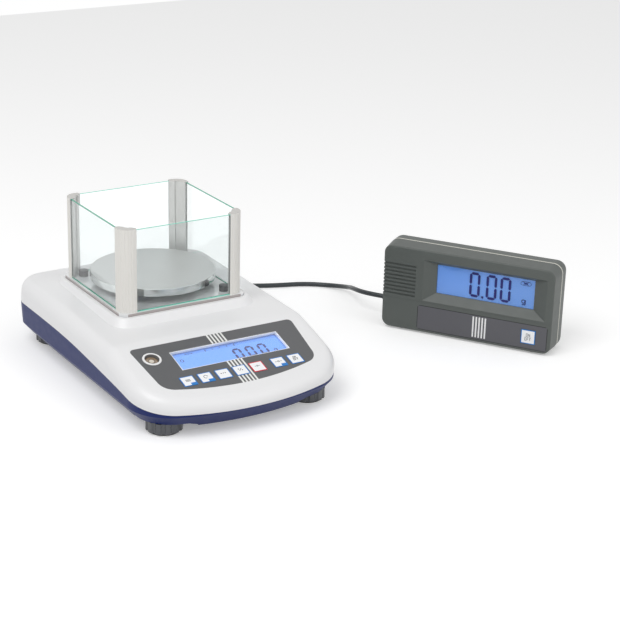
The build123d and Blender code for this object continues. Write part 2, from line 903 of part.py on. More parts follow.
with BuildPart() as shield_knobs:
    with BuildSketch(level(plate_top)):
        with Locations(*knob_points):
            Circle(shield_knob_radius)
        for x, y in knob_points:
            with Locations((x, y)):
                with PolarLocations(shield_knob_radius, shield_knob_grips):
                    Circle(shield_grip_radius, mode=Mode.SUBTRACT)
    extrude(amount=shield_knob_height)
    with BuildSketch(level(plate_top)):
        with Locations(*knob_points):
            Circle(shield_stud_radius)
    extrude(amount=-shield_stud_length)
shield_knobs.part.label = "shield_knobs"
export_step(shield_knobs.part, "parts/shield_knobs.step")


# Weighing plate: a disc with a rolled rim, and the socket under it that sits round the spigot
pan_under = pan_top - pan_thickness
with BuildPart() as pan:
    with BuildSketch(along(0)):
        with BuildLine():
            Polyline(
                (0, pan_top),
                (pan_radius, pan_top),
                (pan_radius, pan_top - pan_rim_height),
                (pan_radius - pan_rim_thickness, pan_top - pan_rim_height),
                (pan_radius - pan_rim_thickness, pan_under),
                (socket_radius + socket_wall, pan_under),
                (socket_radius + socket_wall, pan_under - socket_height),
                (socket_radius, pan_under - socket_height),
                (socket_radius, pan_under),
                (0, pan_under),
                close=True,
            )
        make_face()
        with Locations((pan_radius - pan_hem_radius, pan_top - pan_rim_height + pan_hem_radius)):
            Circle(pan_hem_radius)
    revolve(axis=Axis((pan_x, pan_y, 0), (0, 0, 1)))
    outer_rim = pan.edges().filter_by(GeomType.CIRCLE).filter_by_position(Axis.Z, pan_top, pan_top)
    fillet(outer_rim.sort_by(SortBy.RADIUS)[-1], pan_edge_radius)
pan.part.label = "pan"
export_step(pan.part, "parts/pan.step")

# Spider that carries the plate, on a post that stands on the free end of the load cell
cell_top = cell_bottom + cell_height
arm_top = pan_under - buffer_height
arm_bottom = arm_top - carrier_arm_thickness
flange_bottom = cell_top + flex_clearance
flange_front = -carrier_post_radius
flange_rear = cell_length / 2
free_seat_start = cell_length / 2 - cell_seat_length
with BuildPart() as pan_carrier:
    with BuildSketch(level(arm_bottom)):
        for i in range(2):
            with Locations(Rotation(0, 0, 45 + 90 * i)):
                SlotOverall(2 * carrier_arm_length, carrier_arm_width)
        Circle(socket_radius - spigot_clearance)
        with PolarLocations(buffer_circle, 4, start_angle=45):
            Circle(buffer_stub_radius + part_clearance / 2, mode=Mode.SUBTRACT)
    extrude(amount=carrier_arm_thickness)
    with BuildSketch(level(arm_top)):
        Circle(socket_radius - spigot_clearance)
    extrude(amount=buffer_height - part_clearance)
    with BuildSketch(level(flange_bottom)):
        Circle(carrier_post_radius)
    extrude(amount=arm_bottom - flange_bottom)
    with BuildSketch(level(flange_bottom)):
        with Locations((0, (flange_front + flange_rear) / 2)):
            RectangleRounded(flange_width, flange_rear - flange_front, buffer_stub_radius)
    extrude(amount=flange_thickness)
    with BuildSketch(level(flange_bottom)):
        with Locations((0, (free_seat_start + flange_rear) / 2)):
            Rectangle(flange_width, flange_rear - free_seat_start)
    extrude(amount=-flex_clearance)
    with BuildSketch(level(cell_top)):
        with Locations(*[(0, y) for y in carrier_screw_places]):
            Circle(cell_screw_radius + screw_clearance)
    extrude(amount=flex_clearance + flange_thickness, mode=Mode.SUBTRACT)
pan_carrier.part.label = "pan_carrier"
export_step(pan_carrier.part, "parts/pan_carrier.step")

with BuildPart() as pan_buffers:
    with BuildSketch(level(arm_top)):
        with PolarLocations(buffer_circle, 4, start_angle=45):
            Circle(buffer_radius)
    extrude(amount=buffer_height)
    with BuildSketch(level(arm_top)):
        with PolarLocations(buffer_circle, 4, start_angle=45):
            Circle(buffer_stub_radius)
    extrude(amount=-buffer_stub_length)
pan_buffers.part.label = "pan_buffers"
export_step(pan_buffers.part, "parts/pan_buffers.step")

# Load cell: a bending beam, hollowed by two joined holes, with screws at both ends
with BuildPart() as load_cell:
    with BuildSketch(along(-cell_width / 2)):
        with Locations((0, cell_bottom + cell_height / 2)):
            Rectangle(cell_length, cell_height)
            with Locations((-cell_hole_offset, 0), (cell_hole_offset, 0)):
                Circle(cell_hole_radius, mode=Mode.SUBTRACT)
            Rectangle(2 * cell_hole_offset, cell_slot_height, mode=Mode.SUBTRACT)
    extrude(amount=cell_width)
    with BuildSketch(level(cell_bottom)):
        with Locations(*[(0, y) for y in cell_base_screws]):
            Circle(cell_screw_radius + screw_clearance)
    extrude(amount=cell_screw_depth, mode=Mode.SUBTRACT)
    with BuildSketch(level(cell_top)):
        with Locations(*[(0, y) for y in carrier_screw_places]):
            Circle(cell_screw_radius + screw_clearance)
    extrude(amount=-cell_screw_depth, mode=Mode.SUBTRACT)
load_cell.part.label = "load_cell"
export_step(load_cell.part, "parts/load_cell.step")

with BuildPart() as load_cell_mount:
    with BuildSketch(level(floor_height)):
        with Locations((0, -cell_seat_middle)):
            Rectangle(cell_width, cell_seat_length)
        with Locations(*[(0, y) for y in cell_base_screws]):
            Circle(cell_screw_radius + screw_clearance, mode=Mode.SUBTRACT)
    extrude(amount=cell_bottom - floor_height)
load_cell_mount.part.label = "load_cell_mount"
export_step(load_cell_mount.part, "parts/load_cell_mount.step")

with BuildPart() as load_cell_screws:
    with BuildSketch(level(base_bottom)):
        with Locations(*[(0, y) for y in cell_base_screws]):
            Circle(cell_screw_radius)
    extrude(amount=cell_bottom + cell_screw_depth - base_bottom - screw_clearance)
    with BuildSketch(level(base_bottom)):
        with Locations(*[(0, y) for y in cell_base_screws]):
            Circle(cell_head_radius)
    extrude(amount=cell_sunk_height)
load_cell_screws.part.label = "load_cell_screws"
export_step(load_cell_screws.part, "parts/load_cell_screws.step")

with BuildPart() as carrier_screws:
    with BuildSketch(level(flange_bottom + flange_thickness)):
        with Locations(*[(0, y) for y in carrier_screw_places]):
            Circle(cell_head_radius)
    extrude(amount=cell_head_height)
    with BuildSketch(level(flange_bottom + flange_thickness)):
        with Locations(*[(0, y) for y in carrier_screw_places]):
            Circle(cell_screw_radius)
    extrude(amount=-flange_thickness - flex_clearance - cell_screw_depth + screw_clearance)
carrier_screws.part.label = "carrier_screws"
export_step(carrier_screws.part, "parts/carrier_screws.step")


# Electronics at the rear: board, its screws and the two sockets that look into the recess
board_top = floor_height + standoff_height + board_thickness
with BuildPart() as main_board:
    with BuildSketch(level(floor_height + standoff_height)):
        with Locations((main_board_x, main_board_y)):
            Rectangle(main_board_width, main_board_length)
        with Locations(*board_screw_points):
            Circle(small_screw_radius + screw_clearance, mode=Mode.SUBTRACT)
    extrude(amount=board_thickness)
    with BuildSketch(level(board_top)):
        with Locations((0, main_board_y), (main_board_x + chip_size, main_board_y)):
            Rectangle(chip_size, chip_size)
    extrude(amount=chip_height)
main_board.part.label = "main_board"
export_step(main_board.part, "parts/main_board.step")

with BuildPart() as board_screws:
    with BuildSketch(level(board_top)):
        with Locations(*board_screw_points):
            Circle(small_head_radius)
    extrude(amount=small_head_height)
    with BuildSketch(level(board_top)):
        with Locations(*board_screw_points):
            Circle(small_screw_radius)
    extrude(amount=-board_thickness - standoff_height / 2)
board_screws.part.label = "board_screws"
export_step(board_screws.part, "parts/board_screws.step")

with BuildPart() as power_jack:
    with BuildSketch(facing_rear(recess_face)):
        with Locations((-jack_x, jack_axis_height)):
            Rectangle(jack_width, jack_height)
    extrude(amount=-jack_length)
    with BuildSketch(facing_rear(recess_face)):
        with Locations((-jack_x, jack_axis_height)):
            Circle(jack_bore_radius)
    extrude(amount=-jack_bore_depth, mode=Mode.SUBTRACT)
power_jack.part.label = "power_jack"
export_step(power_jack.part, "parts/power_jack.step")

with BuildPart() as display_socket:
    with BuildSketch(facing_rear(recess_face + din_proud)):
        with Locations((-socket_x, socket_axis_height)):
            RectangleRounded(din_body, din_body, recess_corner)
    extrude(amount=-din_length)
    with BuildSketch(facing_rear(recess_face + din_proud)):
        with Locations((-socket_x, socket_axis_height)):
            Circle(din_bore_radius)
    extrude(amount=-din_bore_depth, mode=Mode.SUBTRACT)
display_socket.part.label = "display_socket"
export_step(display_socket.part, "parts/display_socket.step")


# Levelling feet: a sole that stays put on the table and a scalloped knob with a threaded stud
foot_names = ["front_left", "rear_left", "front_right", "rear_right"]
for (x, y), place in zip(foot_points, foot_names):
    with BuildPart() as sole:
        with BuildSketch(level(0)):
            with Locations((x, y)):
                Circle(sole_radius)
        extrude(amount=sole_height)
        with BuildSketch(level(sole_height)):
            with Locations((x, y)):
                Circle(sole_pin_radius)
        extrude(amount=sole_pin_height)
    sole.part.label = f"foot_sole_{place}"
    export_step(sole.part, f"parts/foot_sole_{place}.step")

    with BuildPart() as knob:
        with BuildSketch(level(sole_height)):
            with Locations((x, y)):
                Circle(foot_radius)
                with PolarLocations(foot_radius + scallop_radius / 2, foot_scallops):
                    Circle(scallop_radius, mode=Mode.SUBTRACT)
        extrude(amount=foot_height - sole_height)
        with BuildSketch(level(foot_height)):
            with Locations((x, y)):
                Circle(stud_radius)
        extrude(amount=stud_length - part_clearance)
        with BuildSketch(level(sole_height)):
            with Locations((x, y)):
                Circle(sole_pin_radius + sole_pin_clearance)
        extrude(amount=sole_pin_height + part_clearance, mode=Mode.SUBTRACT)
    knob.part.label = f"foot_knob_{place}"
    export_step(knob.part, f"parts/foot_knob_{place}.step")

# Screws that join the two shells, and the cap over the opening for weighing below the balance
with BuildPart() as housing_screws:
    with BuildSketch(level(base_bottom + screw_clearance)):
        with Locations(*screw_points):
            Circle(screw_head_radius)
    extrude(amount=screw_head_height)
    with BuildSketch(level(base_bottom + screw_clearance)):
        with Locations(*screw_points):
            Circle(screw_radius)
    extrude(amount=screw_length)
housing_screws.part.label = "housing_screws"
export_step(housing_screws.part, "parts/housing_screws.step")

with BuildPart() as hook_cap:
    with BuildSketch(level(base_bottom)):
        Circle(cap_flange_radius)
    extrude(amount=cap_flange_height)
    with BuildSketch(level(base_bottom)):
        Circle(cap_radius)
    extrude(amount=cap_depth)
hook_cap.part.label = "hook_cap"
export_step(hook_cap.part, "parts/hook_cap.step")


# Second display: a drafted front shell, a pale gasket and a rear shell, with ribs on the left
display_middle = (display_bottom + display_top) / 2
gasket_back = display_front_depth + gasket_thickness
display_board_face = pocket_depth + window_lip + window_thickness + display_lcd_thickness
display_screw_points = [
    (side * display_screw_x, z) for side in (-1, 1) for z in (display_screw_low, display_screw_high)
]
display_pads = [(side * display_pad_x, depth) for side in (-1, 1) for depth in display_pad_depths]
rib_places = [rib_low + i * rib_pitch for i in range(rib_count)]
towards_viewer = Axis(face().origin, face().z_dir)


def display_outline(inset=0.0):
    """Outline of the second display's housing at its seam, drawn in by an inset."""
    with BuildSketch() as outline:
        with Locations((0, display_middle)):
            RectangleRounded(
                display_width - 2 * inset, display_top - display_bottom - 2 * inset, display_corner - inset
            )
    return outline.sketch


def screen_outline(margin=0.0):
    """Outline of the second display's screen, let out by a margin."""
    with BuildSketch() as outline:
        with Locations((screen_x, screen_z)):
            Rectangle(screen_width + 2 * margin, screen_height + 2 * margin)
    return outline.sketch


def pocket_outline(margin=0.0):
    """Outline of the sloping pocket round the screen where it meets the face, let out by a margin."""
    with BuildSketch() as outline:
        with Locations(((pocket_left + pocket_right) / 2, (pocket_low + pocket_high) / 2)):
            Rectangle(pocket_right - pocket_left + 2 * margin, pocket_high - pocket_low + 2 * margin)
    return outline.sketch


def strip_outline():
    """Outline of the foil strip under the screen."""
    with BuildSketch() as outline:
        with Locations(((strip_left + strip_right) / 2, (strip_low + strip_high) / 2)):
            RectangleRounded(strip_right - strip_left, strip_high - strip_low, strip_corner)
    return outline.sketch


with BuildPart() as front_hollow:
    with BuildSketch(face(display_front_depth)):
        add(display_outline(display_wall))
    extrude(amount=display_front_depth - display_wall, taper=display_draft)
    with BuildSketch(face()):
        add(pocket_outline(display_wall))
    with BuildSketch(face(pocket_depth + window_lip)):
        add(screen_outline(screen_margin + display_wall))
    loft(mode=Mode.SUBTRACT)
    with BuildSketch(face(display_board_face)):
        with Locations(*display_posts):
            Circle(board_post_radius)
    extrude(amount=display_board_face, mode=Mode.SUBTRACT)
    with BuildSketch(face(display_front_depth)):
        with Locations(*display_screw_points):
            Circle(display_boss_radius)
    extrude(amount=display_front_depth, mode=Mode.SUBTRACT)

with BuildPart() as display_front:
    with BuildSketch(face(display_front_depth)):
        add(display_outline())
    extrude(amount=display_front_depth, taper=display_draft)
    fillet(display_front.faces().sort_by(towards_viewer)[-1].edges(), display_front_edge)
    add(front_hollow.part, mode=Mode.SUBTRACT)
    with BuildSketch(face()):
        add(pocket_outline())
    with BuildSketch(face(pocket_depth)):
        add(screen_outline())
    loft(mode=Mode.SUBTRACT)
    with BuildSketch(face(pocket_depth + window_lip)):
        add(screen_outline())
    extrude(amount=window_lip, mode=Mode.SUBTRACT)
    with BuildSketch(face()):
        with Locations((0, ledge_height / 2)):
            Rectangle(display_width, ledge_height)
    extrude(amount=-ledge_depth, mode=Mode.SUBTRACT)
    with BuildSketch(face(ledge_depth)):
        add(strip_outline())
    extrude(amount=-foil_recess, mode=Mode.SUBTRACT)
    with BuildSketch(face()):
        with Locations((display_key_x, display_key_z)):
            Rectangle(display_key_size + 2 * part_clearance, display_key_size + 2 * part_clearance)
    extrude(amount=-display_wall, mode=Mode.SUBTRACT)
    with BuildSketch(face()):
        with Locations(*[((rib_end - display_half) / 2, z) for z in rib_places]):
            Rectangle(display_half + rib_end, rib_groove)
    extrude(amount=-rib_depth, mode=Mode.SUBTRACT)
    with BuildSketch(face()):
        with Locations(*[(-display_half, z) for z in rib_places]):
            Rectangle(2 * rib_side_cut, rib_groove)
    extrude(amount=-rib_side_depth, mode=Mode.SUBTRACT)
    with BuildSketch(face(display_front_depth)):
        with Locations(*display_screw_points):
            Circle(small_screw_radius + screw_clearance)
    extrude(amount=display_front_depth - display_screw_end + part_clearance, mode=Mode.SUBTRACT)
    with BuildSketch(table()):
        with Locations(*display_pads):
            Circle(display_pad_radius + screw_clearance)
    extrude(amount=display_pad_height, mode=Mode.SUBTRACT)
display_front.part.label = "display_front"
export_step(display_front.part, "parts/display_front.step")

with BuildPart() as display_gasket:
    with BuildSketch(face(gasket_back)):
        add(display_outline())
        add(display_outline(gasket_width), mode=Mode.SUBTRACT)
    extrude(amount=gasket_thickness)
display_gasket.part.label = "display_gasket"
export_step(display_gasket.part, "parts/display_gasket.step")

with BuildPart() as rear_hollow:
    with BuildSketch(face(gasket_back)):
        add(display_outline(display_wall))
    extrude(amount=gasket_back + display_wall - display_depth)
    rear_corners = rear_hollow.faces().sort_by(towards_viewer)[0].edges()
    fillet(rear_corners, display_rear_edge - display_wall)
    with BuildSketch(face(gasket_back)):
        with Locations(*display_screw_points):
            Circle(display_boss_radius)
    extrude(amount=gasket_back - display_depth, mode=Mode.SUBTRACT)

with BuildPart() as display_rear:
    with BuildSketch(face(gasket_back)):
        add(display_outline())
    extrude(amount=gasket_back - display_depth)
    fillet(display_rear.faces().sort_by(towards_viewer)[0].edges(), display_rear_edge)
    add(rear_hollow.part, mode=Mode.SUBTRACT)
    with BuildSketch(face(gasket_back)):
        with Locations(*display_screw_points):
            Circle(display_boss_radius)
    extrude(amount=gasket_thickness)
    with BuildSketch(face(display_depth)):
        with Locations(*display_screw_points):
            Circle(small_screw_radius + screw_clearance)
    extrude(amount=display_depth, mode=Mode.SUBTRACT)
    with BuildSketch(face(display_depth)):
        with Locations(*display_screw_points):
            Circle(small_head_radius + screw_clearance)
    extrude(amount=display_screw_sink + small_head_height, mode=Mode.SUBTRACT)
    with BuildSketch(beside()):
        Circle(gland_neck_radius)
    extrude(amount=-display_wall, mode=Mode.SUBTRACT)
    with BuildSketch(table()):
        with Locations(*display_pads):
            Circle(display_pad_radius + screw_clearance)
    extrude(amount=display_pad_height, mode=Mode.SUBTRACT)
display_rear.part.label = "display_rear"
export_step(display_rear.part, "parts/display_rear.step")

with BuildPart() as display_window:
    with BuildSketch(face(pocket_depth + window_lip)):
        add(screen_outline(screen_margin))
    extrude(amount=-window_thickness)
display_window.part.label = "display_window"
export_step(display_window.part, "parts/display_window.step")

with BuildPart() as display_lcd:
    with BuildSketch(face(display_board_face)):
        add(screen_outline(screen_margin))
    extrude(amount=display_lcd_thickness)
display_lcd.part.label = "display_lcd"
export_step(display_lcd.part, "parts/display_lcd.step")

key_reach = key_flange_thickness + key_stem_length
with BuildPart() as display_board:
    with BuildSketch(face(display_board_face)):
        with Locations((0, (display_board_low + display_board_high) / 2)):
            Rectangle(2 * display_board_half, display_board_high - display_board_low)
    extrude(amount=-board_thickness)
    with BuildSketch(face(display_board_face)):
        with Locations((display_key_x, display_key_z)):
            Rectangle(switch_size, switch_size)
    extrude(amount=display_board_face - display_wall - key_reach - switch_gap)
display_board.part.label = "display_board"
export_step(display_board.part, "parts/display_board.step")

with BuildPart() as display_foil:
    with BuildSketch(face(ledge_depth + foil_recess)):
        add(strip_outline())
        with Locations((display_key_x, display_key_z)):
            Rectangle(
                display_key_size + 2 * part_clearance,
                display_key_size + 2 * part_clearance,
                mode=Mode.SUBTRACT,
            )
    extrude(amount=foil_thickness)
display_foil.part.label = "display_foil"
export_step(display_foil.part, "parts/display_foil.step")

with BuildPart() as display_key:
    with BuildSketch(face(display_wall)):
        with Locations((display_key_x, display_key_z)):
            Rectangle(display_key_size, display_key_size)
    extrude(amount=display_wall - ledge_depth + key_rise)
    with BuildSketch(face(display_wall)):
        with Locations((display_key_x, display_key_z)):
            Rectangle(display_key_size + 2 * key_flange, display_key_size + 2 * key_flange)
    extrude(amount=-key_flange_thickness)
    with BuildSketch(face(display_wall + key_flange_thickness)):
        with Locations((display_key_x, display_key_z)):
            Circle(key_stem_radius)
    extrude(amount=-key_stem_length)
display_key.part.label = "display_key"
export_step(display_key.part, "parts/display_key.step")

with BuildPart() as display_screws:
    with BuildSketch(face(display_depth - display_screw_sink)):
        with Locations(*display_screw_points):
            Circle(small_head_radius)
    extrude(amount=small_head_height)
    with BuildSketch(face(display_depth - display_screw_sink - small_head_height)):
        with Locations(*display_screw_points):
            Circle(small_screw_radius)
    extrude(amount=display_depth - display_screw_sink - small_head_height - display_screw_end)
display_screws.part.label = "display_screws"
export_step(display_screws.part, "parts/display_screws.step")

with BuildPart() as display_feet:
    with BuildSketch(table()):
        with Locations(*display_pads):
            Circle(display_pad_radius)
    extrude(amount=display_pad_height)
display_feet.part.label = "display_feet"
export_step(display_feet.part, "parts/display_feet.step")


# Plug, cord and grommet. Each bend's radius comes from its two runs and its angle.
plug_face = recess_face + din_proud
with BuildPart() as cord_plug:
    with BuildSketch(facing_rear(plug_face)):
        with Locations((-socket_x, socket_axis_height)):
            Circle(plug_radius)
    extrude(amount=plug_length)
    fillet(cord_plug.faces().sort_by(Axis.Y)[-1].edges(), plug_edge)
    with BuildSketch(facing_rear(plug_face)):
        with Locations((-socket_x, socket_axis_height)):
            Circle(plug_shell_radius)
    extrude(amount=-plug_shell_length)
    with BuildSketch(facing_rear(plug_face + plug_length)):
        with Locations((-socket_x, socket_axis_height)):
            Circle(relief_root_radius)
    extrude(
        amount=relief_length,
        taper=degrees(atan2(relief_root_radius - relief_tip_radius, relief_length)),
    )
    for i in range(relief_grooves):
        with BuildSketch(facing_rear(plug_face + plug_length + (2 * i + 1) * 2 * relief_groove_width)):
            with Locations((-socket_x, socket_axis_height)):
                Circle(plug_radius)
                Circle(cord_radius + part_clearance, mode=Mode.SUBTRACT)
        extrude(amount=relief_groove_width, mode=Mode.SUBTRACT)
cord_plug.part.label = "cord_plug"
export_step(cord_plug.part, "parts/cord_plug.step")

with BuildPart() as cord_gland:
    with BuildSketch(beside()):
        Circle(gland_flange_radius)
    extrude(amount=gland_flange_thickness)
    with BuildSketch(beside(gland_flange_thickness)):
        Circle(gland_neck_radius)
    extrude(amount=gland_reach - gland_flange_thickness, taper=gland_taper)
    with BuildSketch(beside()):
        Circle(gland_neck_radius)
    extrude(amount=-display_wall)
    with BuildSketch(beside(-display_wall)):
        Circle(gland_flange_radius)
    extrude(amount=-gland_flange_thickness)
cord_gland.part.label = "cord_gland"
export_step(cord_gland.part, "parts/cord_gland.step")

plug_tip = Vector(pan_x + socket_x, pan_y + plug_face + plug_length + relief_length, socket_axis_height)
route = [plug_tip, plug_tip + Vector(0, cord_lead_plug, 0)]
route += [Vector(pan_x + x, pan_y + y, z) for x, y, z in cord_places]
route += [beside(gland_reach + cord_lead_gland).origin, beside(gland_reach).origin]
runs = [b - a for a, b in zip(route, route[1:])]
bend_radii = [
    0.45 * min(a.length, b.length) / tan(radians(a.get_angle(b) / 2)) for a, b in zip(runs, runs[1:])
]
with BuildPart() as display_cord:
    with BuildLine() as cord_path:
        FilletPolyline(*route, radius=bend_radii)
    with BuildSketch(cord_path.line ^ 0):
        Circle(cord_radius)
    sweep()
display_cord.part.label = "display_cord"
export_step(display_cord.part, "parts/display_cord.step")
cord_length = sum(edge.length for edge in cord_path.edges())
print("bend radii", [round(r, 1) for r in bend_radii])
print("cord length", round(cord_length, 1), "volume", round(display_cord.part.volume, 1))
print("section times length", round(pi * cord_radius**2 * cord_length, 1))
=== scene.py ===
# %% [markdown]
# # A compact balance with its second display
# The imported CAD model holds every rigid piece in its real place. This lesson loads it as a fixed
# frame, sets up the camera and the light of a product photograph, gives each piece a finish made
# from nodes, and adds what the CAD model leaves out: digits, printed marks and the cord's curve.

# %% Load the frame
from math import cos, pi, radians, sin

import bpy
import numpy as np
from mathutils import Matrix, Vector


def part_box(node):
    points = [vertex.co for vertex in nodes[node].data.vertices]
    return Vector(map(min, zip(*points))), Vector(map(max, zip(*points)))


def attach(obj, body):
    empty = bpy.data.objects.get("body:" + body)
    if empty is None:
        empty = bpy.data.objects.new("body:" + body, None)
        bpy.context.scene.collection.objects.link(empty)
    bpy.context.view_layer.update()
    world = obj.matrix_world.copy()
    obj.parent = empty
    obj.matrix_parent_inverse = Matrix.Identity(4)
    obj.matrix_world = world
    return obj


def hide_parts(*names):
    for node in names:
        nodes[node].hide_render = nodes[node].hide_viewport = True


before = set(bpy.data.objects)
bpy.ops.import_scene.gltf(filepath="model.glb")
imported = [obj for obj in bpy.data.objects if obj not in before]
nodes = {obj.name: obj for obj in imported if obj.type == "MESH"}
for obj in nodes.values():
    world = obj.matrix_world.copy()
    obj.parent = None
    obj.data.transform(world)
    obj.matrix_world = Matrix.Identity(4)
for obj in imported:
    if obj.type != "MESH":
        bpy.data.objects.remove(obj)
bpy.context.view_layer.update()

# %% [markdown]
# ## Places
# Everything on the balance is measured in millimetres from the axis of its weighing plate, as in
# the CAD source. The box of that node gives the axis, so the scene follows the frame.

# %% Places
low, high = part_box("pan")
pan_x, pan_y = (low[0] + high[0]) / 2, (low[1] + high[1]) / 2


def at(x, y, z):
    """A place in metres, from millimetres measured from the plate's axis and the table."""
    return Vector((pan_x + x / 1000, pan_y + y / 1000, z / 1000))


class Face:
    """A flat face: u runs to its right, v up it and d out of it, all in millimetres."""

    def __init__(self, origin, right, up):
        self.origin = np.array(at(*origin))
        self.right, self.up = np.array(right), np.array(up)
        self.out = np.cross(self.right, self.up)

    def places(self, u, v, d):
        """Origin plus u times right, v times up and d times out, in metres."""
        steps = np.outer(u, self.right) + np.outer(v, self.up) + np.outer(d, self.out)
        return self.origin + steps / 1000


panel_tilt, display_turn = radians(16.1), radians(-56.1)
panel = Face((0, -157, 48), (1, 0, 0), (0, cos(panel_tilt), sin(panel_tilt)))
display = Face((288.4, -125.2, 0), (cos(display_turn), sin(display_turn), 0), (0, 0, 1))
print("plate axis at", round(pan_x, 4), round(pan_y, 4))

# %% [markdown]
# ## Camera
# The photograph is taken from the front left, a little above, with a long lens. The camera looks
# along one direction at a point on the table, turned by a small roll.

# %% Camera
view_turn, view_rise, view_roll = radians(-32.4), radians(20.84), radians(1.6)
view_distance, focal_pixels, image_pixels, sensor_width = 1.78896, 1685.57, 620, 36

back = Vector((sin(view_turn) * cos(view_rise), -cos(view_turn) * cos(view_rise), sin(view_rise)))
level_right = (-back).cross(Vector((0, 0, 1))).normalized()
level_up = level_right.cross(-back)
right = level_right * cos(view_roll) + level_up * sin(view_roll)
up = level_up * cos(view_roll) - level_right * sin(view_roll)
aim = at(197.82, 25.03, 0)
eye = aim + back * view_distance

camera = bpy.data.objects.new("camera", bpy.data.cameras.new("camera"))
camera.data.sensor_width = sensor_width
camera.data.lens = focal_pixels * sensor_width / image_pixels
rows = [(*row, place) for row, place in zip(zip(right, up, back), eye)]
camera.matrix_world = Matrix(rows + [(0, 0, 0, 1)])
bpy.context.scene.collection.objects.link(camera)
bpy.context.scene.camera = camera
print("camera at", [round(c, 3) for c in eye], "lens", round(camera.data.lens, 1))

# %% [markdown]
# ## Cord
# The cord leaves its plug behind the balance, drops to the table, comes round the right side and
# rises to the grommet of the second display. A NURBS spline with the route as its control points
# bends as smoothly as a rubber cord does. The photograph shows the cord up to where it goes
# behind the balance, and the rest is the short way from there to its socket. A bevel of 1 leaves
# the thickness to the radius of each point, which keeps the curve's own box true.

# %% Cord
cord_radius = 0.0025
cord_route = [
    (50, 133.8, 25.4), (50, 152, 25.4), (55, 175, 17), (70, 193, 8), (94, 199, 2.5),
    (120, 182, 2.5), (143, 147, 2.5), (168, 117, 2.5), (200, 102, 2.5), (232, 92, 2.5),
    (256, 73, 2.5), (260, 44, 9), (246, 18, 19), (242.9, -9.1, 23), (255.18, -27.35, 23),
]
curve = bpy.data.curves.new("cord_curve", "CURVE")
curve.dimensions = "3D"
curve.bevel_depth = 1.0
curve.bevel_resolution = 6
curve.use_fill_caps = True
spline = curve.splines.new("NURBS")
spline.points.add(len(cord_route) - 1)
for point, place in zip(spline.points, cord_route):
    point.co = (*at(*place), 1)
    point.radius = cord_radius
spline.order_u = 3
spline.use_endpoint_u = True
spline.resolution_u = 16
cord = bpy.data.objects.new("cord_curve", curve)
bpy.context.scene.collection.objects.link(cord)
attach(cord, "balance")
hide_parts("display_cord")
print("cord through", len(cord_route), "control points")

# %% [markdown]
# ## Formulas in nodes
# A finish is easier to read as a formula. Value wraps a socket, so that u * 2 or 1 - mask adds the
# Math node it stands for. Nodes adds any other node by its type, its settings and its sockets.

# %% Formulas in nodes


class Value:
    """A number that varies over a surface."""

    def __init__(self, owner, socket):
        self.owner, self.socket = owner, socket

    def math(self, operation, first, second):
        made = self.owner.node("Math", {"operation": operation}, {0: first, 1: second})
        return Value(self.owner, made.outputs[0])

    def __add__(self, other):
        return self.math("ADD", self, other)

    def __sub__(self, other):
        return self.math("SUBTRACT", self, other)

    def __rsub__(self, other):
        return self.math("SUBTRACT", other, self)

    def __mul__(self, other):
        return self.math("MULTIPLY", self, other)

    def __gt__(self, other):
        return self.math("GREATER_THAN", self, other)

    def __lt__(self, other):
        return self.math("LESS_THAN", self, other)

    def __abs__(self):
        return self.math("ABSOLUTE", self, 0)

    __radd__, __rmul__ = __add__, __mul__


class Nodes:
    """A node tree, and the one way a node is added to it."""

    def __init__(self, tree):
        self.tree = tree
        tree.nodes.clear()

    def node(self, kind, settings, sockets):
        made = self.tree.nodes.new("ShaderNode" + kind)
        for name, setting in settings.items():
            setattr(made, name, setting)
        for name, given in sockets.items():
            socket = made.inputs[name]
            if isinstance(given, Value):
                given = given.socket
            if isinstance(given, bpy.types.NodeSocket):
                self.tree.links.new(given, socket)
            else:
                socket.default_value = given
        return made

    def mix(self, share, first, second):
        """First colour where share is 0, second where it is 1."""
        made = self.node("Mix", {"data_type": "RGBA"}, {0: share, 6: first, 7: second})
        return made.outputs[2]

    def object_place(self):
        return self.node("TexCoord", {}, {}).outputs["Object"]

    def noise(self, scale, detail=2.0, stretch=(1, 1, 1)):
        """Noise from 0 to 1 whose cells are 1 / scale metres wide, stretched per axis."""
        moved = self.node("Mapping", {}, {"Vector": self.object_place(), "Scale": stretch})
        made = self.node("TexNoise", {}, {"Vector": moved.outputs[0], "Scale": scale, "Detail": detail})
        return Value(self, made.outputs[0])

    def along(self, axis, origin):
        """Millimetres from an origin along an axis: their dot product."""
        made = self.node(
            "VectorMath", {"operation": "DOT_PRODUCT"}, {0: self.object_place(), 1: tuple(axis)}
        )
        return Value(self, made.outputs["Value"]) * 1000 - 1000 * float(np.dot(origin, axis))

    def on(self, face):
        """u and v of a face, in millimetres."""
        return self.along(face.right, face.origin), self.along(face.up, face.origin)


def between(value, lowest, highest):
    """1 where a value lies between two numbers, else 0."""
    return (value > lowest) * (value < highest)


def shade(colour, factor=1.0):
    """A colour of 0 to 255 as the photograph shows it, made linear."""
    linear = ((np.array(colour) / 255 + 0.055) / 1.055) ** 2.4
    return (*np.clip(linear * factor, 0, 1).tolist(), 1)


# %% [markdown]
# ## Finish
# Moulded plastic is never one flat colour: its tone drifts a little, its gloss is uneven, and the
# tool leaves a fine grain. Every finish starts from these three, at the scale of its material. Glass
# has only the last of them, so the grain belongs to a class that both share.

# %% Finish
tone_scale, gloss_scale, gloss_swing, grain_strength = 18, 140, 0.3, 0.5


